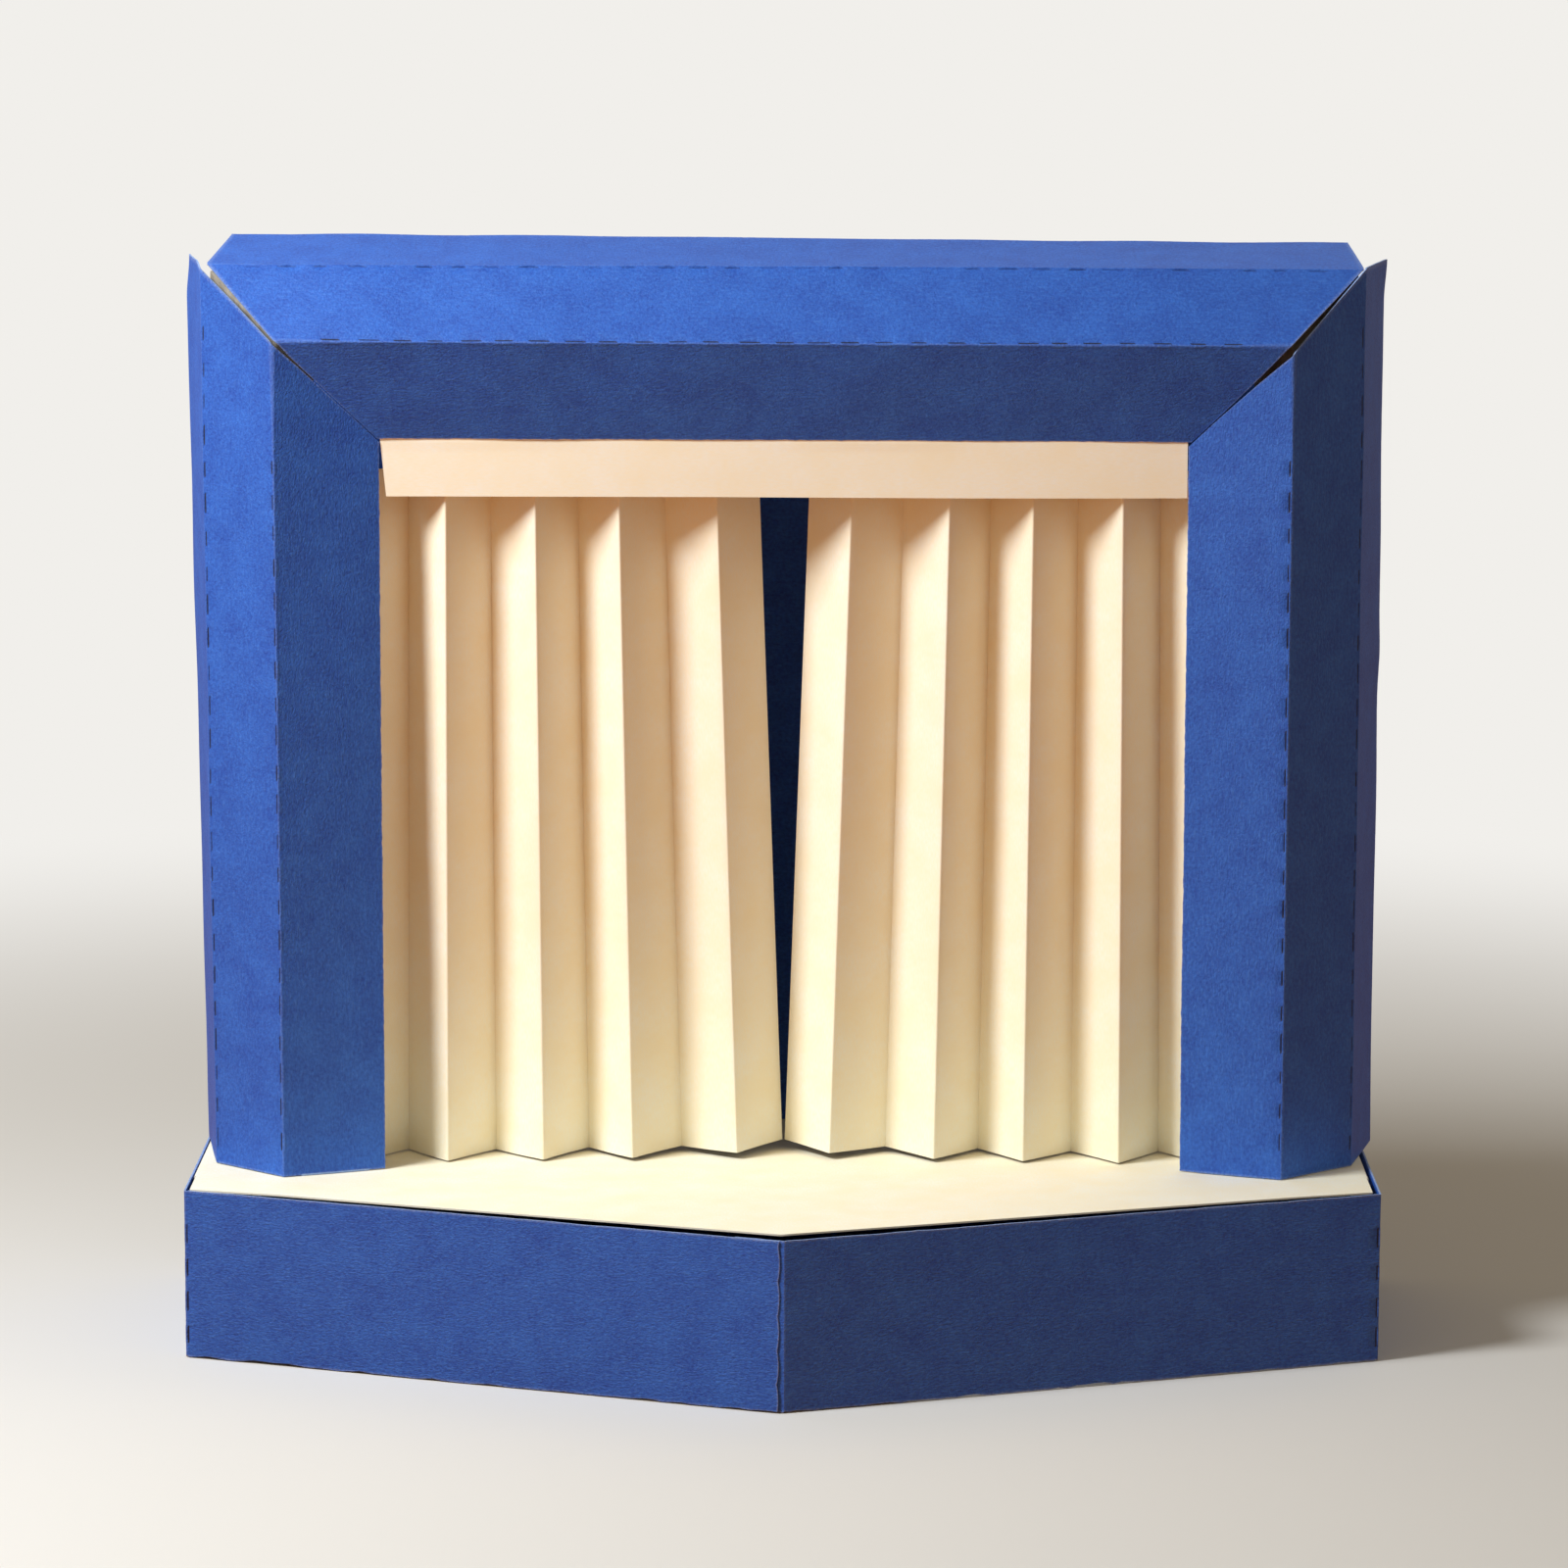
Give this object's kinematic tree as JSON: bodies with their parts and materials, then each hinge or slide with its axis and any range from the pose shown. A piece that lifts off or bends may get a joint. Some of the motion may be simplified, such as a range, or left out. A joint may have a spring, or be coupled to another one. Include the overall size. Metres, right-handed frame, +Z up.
{
  "type": "toy theatre",
  "caption": "Small toy theatre of folded card: pointed blue base, cream stage floor, mitred blue frame, valance and pleated cream curtains that fold open, backdrop behind.",
  "frame": {"origin": "under the middle of the object's bounding box, on the surface that the base stands on", "axes": "+X to the right as the audience sees it, +Y away from the audience, +Z up"},
  "size_m": [0.2866, 0.1279, 0.2598],
  "materials": {
    "blue_card": "matt blue card with a felt grain, perforated at the folds",
    "cream_card": "smooth matt cream card"
  },
  "bodies": {
    "theatre": {"base_wall_left": "blue_card", "base_wall_right": "blue_card", "base_back_wall": "blue_card", "stage_floor": "cream_card", "post_left": "blue_card", "post_right": "blue_card", "top_beam": "blue_card", "corner_strap_left": "cream_card", "corner_strap_right": "cream_card", "valance": "cream_card", "backdrop": "blue_card", "left_curtain_end": "cream_card", "right_curtain_end": "cream_card"},
    "left_pleat_1": {"left_pleat_1": "cream_card"},
    "left_pleat_2": {"left_pleat_2": "cream_card"},
    "left_pleat_3": {"left_pleat_3": "cream_card"},
    "left_pleat_4": {"left_pleat_4": "cream_card"},
    "left_pleat_5": {"left_pleat_5": "cream_card"},
    "left_pleat_6": {"left_pleat_6": "cream_card"},
    "left_pleat_7": {"left_pleat_7": "cream_card"},
    "left_pleat_8": {"left_pleat_8": "cream_card"},
    "left_pleat_9": {"left_pleat_9": "cream_card"},
    "right_pleat_1": {"right_pleat_1": "cream_card"},
    "right_pleat_2": {"right_pleat_2": "cream_card"},
    "right_pleat_3": {"right_pleat_3": "cream_card"},
    "right_pleat_4": {"right_pleat_4": "cream_card"},
    "right_pleat_5": {"right_pleat_5": "cream_card"},
    "right_pleat_6": {"right_pleat_6": "cream_card"},
    "right_pleat_7": {"right_pleat_7": "cream_card"},
    "right_pleat_8": {"right_pleat_8": "cream_card"},
    "right_pleat_9": {"right_pleat_9": "cream_card"}
  },
  "joints": [
    {"name": "left_fold_1", "type": "hinge", "parent": "theatre", "child": "left_pleat_1", "pos_m": [-0.1004, 0.01457, 0.04], "axis": [0.0163, -0.0361, 0.9992], "range_deg": [0, 36]},
    {"name": "left_fold_2", "type": "hinge", "parent": "left_pleat_1", "child": "left_pleat_2", "pos_m": [-0.09018, 0.02701, 0.04], "axis": [-0.011, 0.0428, -0.999], "range_deg": [0, 72]},
    {"name": "left_fold_3", "type": "hinge", "parent": "left_pleat_2", "child": "left_pleat_3", "pos_m": [-0.07995, 0.01457, 0.04], "axis": [0.0058, -0.0361, 0.9993], "range_deg": [0, 72]},
    {"name": "left_fold_4", "type": "hinge", "parent": "left_pleat_3", "child": "left_pleat_4", "pos_m": [-0.06909, 0.02646, 0.04], "axis": [-0.0002, 0.0425, -0.9991], "range_deg": [0, 72]},
    {"name": "left_fold_5", "type": "hinge", "parent": "left_pleat_4", "child": "left_pleat_5", "pos_m": [-0.05724, 0.01556, 0.04], "axis": [-0.0059, -0.0366, 0.9993], "range_deg": [0, 72]},
    {"name": "left_fold_6", "type": "hinge", "parent": "left_pleat_5", "child": "left_pleat_6", "pos_m": [-0.0468, 0.02782, 0.04], "axis": [0.0112, 0.0432, -0.999], "range_deg": [0, 72]},
    {"name": "left_fold_7", "type": "hinge", "parent": "left_pleat_6", "child": "left_pleat_7", "pos_m": [-0.03594, 0.01594, 0.04], "axis": [-0.0168, -0.0368, 0.9992], "range_deg": [0, 72]},
    {"name": "left_fold_8", "type": "hinge", "parent": "left_pleat_7", "child": "left_pleat_8", "pos_m": [-0.02447, 0.02723, 0.04], "axis": [0.0227, 0.0429, -0.9988], "range_deg": [0, 72]},
    {"name": "left_fold_9", "type": "hinge", "parent": "left_pleat_8", "child": "left_pleat_9", "pos_m": [-0.01106, 0.01833, 0.04], "axis": [-0.0296, -0.038, 0.9988], "range_deg": [0, 72]},
    {"name": "right_fold_1", "type": "hinge", "parent": "theatre", "child": "right_pleat_1", "pos_m": [0.1004, 0.01457, 0.04], "axis": [0.0163, 0.0361, -0.9992], "range_deg": [0, 36]},
    {"name": "right_fold_2", "type": "hinge", "parent": "right_pleat_1", "child": "right_pleat_2", "pos_m": [0.09018, 0.02701, 0.04], "axis": [-0.011, -0.0428, 0.999], "range_deg": [0, 72]},
    {"name": "right_fold_3", "type": "hinge", "parent": "right_pleat_2", "child": "right_pleat_3", "pos_m": [0.07995, 0.01457, 0.04], "axis": [0.0058, 0.0361, -0.9993], "range_deg": [0, 72]},
    {"name": "right_fold_4", "type": "hinge", "parent": "right_pleat_3", "child": "right_pleat_4", "pos_m": [0.06909, 0.02646, 0.04], "axis": [-0.0002, -0.0425, 0.9991], "range_deg": [0, 72]},
    {"name": "right_fold_5", "type": "hinge", "parent": "right_pleat_4", "child": "right_pleat_5", "pos_m": [0.05724, 0.01556, 0.04], "axis": [-0.0059, 0.0366, -0.9993], "range_deg": [0, 72]},
    {"name": "right_fold_6", "type": "hinge", "parent": "right_pleat_5", "child": "right_pleat_6", "pos_m": [0.0468, 0.02782, 0.04], "axis": [0.0112, -0.0432, 0.999], "range_deg": [0, 72]},
    {"name": "right_fold_7", "type": "hinge", "parent": "right_pleat_6", "child": "right_pleat_7", "pos_m": [0.03594, 0.01594, 0.04], "axis": [-0.0168, 0.0368, -0.9992], "range_deg": [0, 72]},
    {"name": "right_fold_8", "type": "hinge", "parent": "right_pleat_7", "child": "right_pleat_8", "pos_m": [0.02447, 0.02723, 0.04], "axis": [0.0227, -0.0429, 0.9988], "range_deg": [0, 72]},
    {"name": "right_fold_9", "type": "hinge", "parent": "right_pleat_8", "child": "right_pleat_9", "pos_m": [0.01106, 0.01833, 0.04], "axis": [-0.0296, 0.038, -0.9988], "range_deg": [0, 72]}
  ],
  "couplings": [
    {"joint": "left_fold_2", "follows": "left_fold_1", "ratio": 2},
    {"joint": "left_fold_3", "follows": "left_fold_1", "ratio": 2},
    {"joint": "left_fold_4", "follows": "left_fold_1", "ratio": 2},
    {"joint": "left_fold_5", "follows": "left_fold_1", "ratio": 2},
    {"joint": "left_fold_6", "follows": "left_fold_1", "ratio": 2},
    {"joint": "left_fold_7", "follows": "left_fold_1", "ratio": 2},
    {"joint": "left_fold_8", "follows": "left_fold_1", "ratio": 2},
    {"joint": "left_fold_9", "follows": "left_fold_1", "ratio": 2},
    {"joint": "right_fold_2", "follows": "right_fold_1", "ratio": 2},
    {"joint": "right_fold_3", "follows": "right_fold_1", "ratio": 2},
    {"joint": "right_fold_4", "follows": "right_fold_1", "ratio": 2},
    {"joint": "right_fold_5", "follows": "right_fold_1", "ratio": 2},
    {"joint": "right_fold_6", "follows": "right_fold_1", "ratio": 2},
    {"joint": "right_fold_7", "follows": "right_fold_1", "ratio": 2},
    {"joint": "right_fold_8", "follows": "right_fold_1", "ratio": 2},
    {"joint": "right_fold_9", "follows": "right_fold_1", "ratio": 2}
  ]
}
